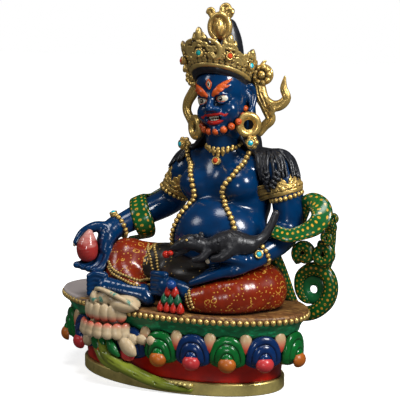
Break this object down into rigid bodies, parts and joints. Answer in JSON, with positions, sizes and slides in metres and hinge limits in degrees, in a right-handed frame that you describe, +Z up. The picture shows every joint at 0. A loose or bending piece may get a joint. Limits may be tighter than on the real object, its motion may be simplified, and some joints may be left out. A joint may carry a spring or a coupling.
{
  "type": "deity statue",
  "caption": "Painted metal statue of a seated, crowned deity with a jewel and a mongoose, one foot on a small lotus, on an oval lotus pedestal.",
  "frame": {"origin": "centre of the pedestal's oval underside", "axes": "+Z up; the figure faces -Y; +X towards the figure's left hand"},
  "size_m": [0.2581, 0.1356, 0.3292],
  "materials": {
    "figure_enamel": "glossy hand-painted enamel over cast copper alloy",
    "base_enamel": "glossy hand-painted enamel over cast copper alloy",
    "teal_stone": "polished opaque stone",
    "turquoise_stone": "polished opaque stone",
    "coral_stone": "polished opaque stone"
  },
  "bodies": {
    "root": {"figure": "figure_enamel", "lotus_base": "base_enamel", "crown_stone_front": "teal_stone", "crown_stone_left_front": "coral_stone", "crown_stone_left_side": "turquoise_stone", "crown_stone_right_front": "coral_stone", "crown_stone_right_side": "turquoise_stone", "earring_stone_left": "turquoise_stone", "earring_stone_right": "turquoise_stone", "necklace_stone": "coral_stone", "wrist_stone_left": "turquoise_stone", "wrist_stone_right": "turquoise_stone"}
  },
  "joints": []
}
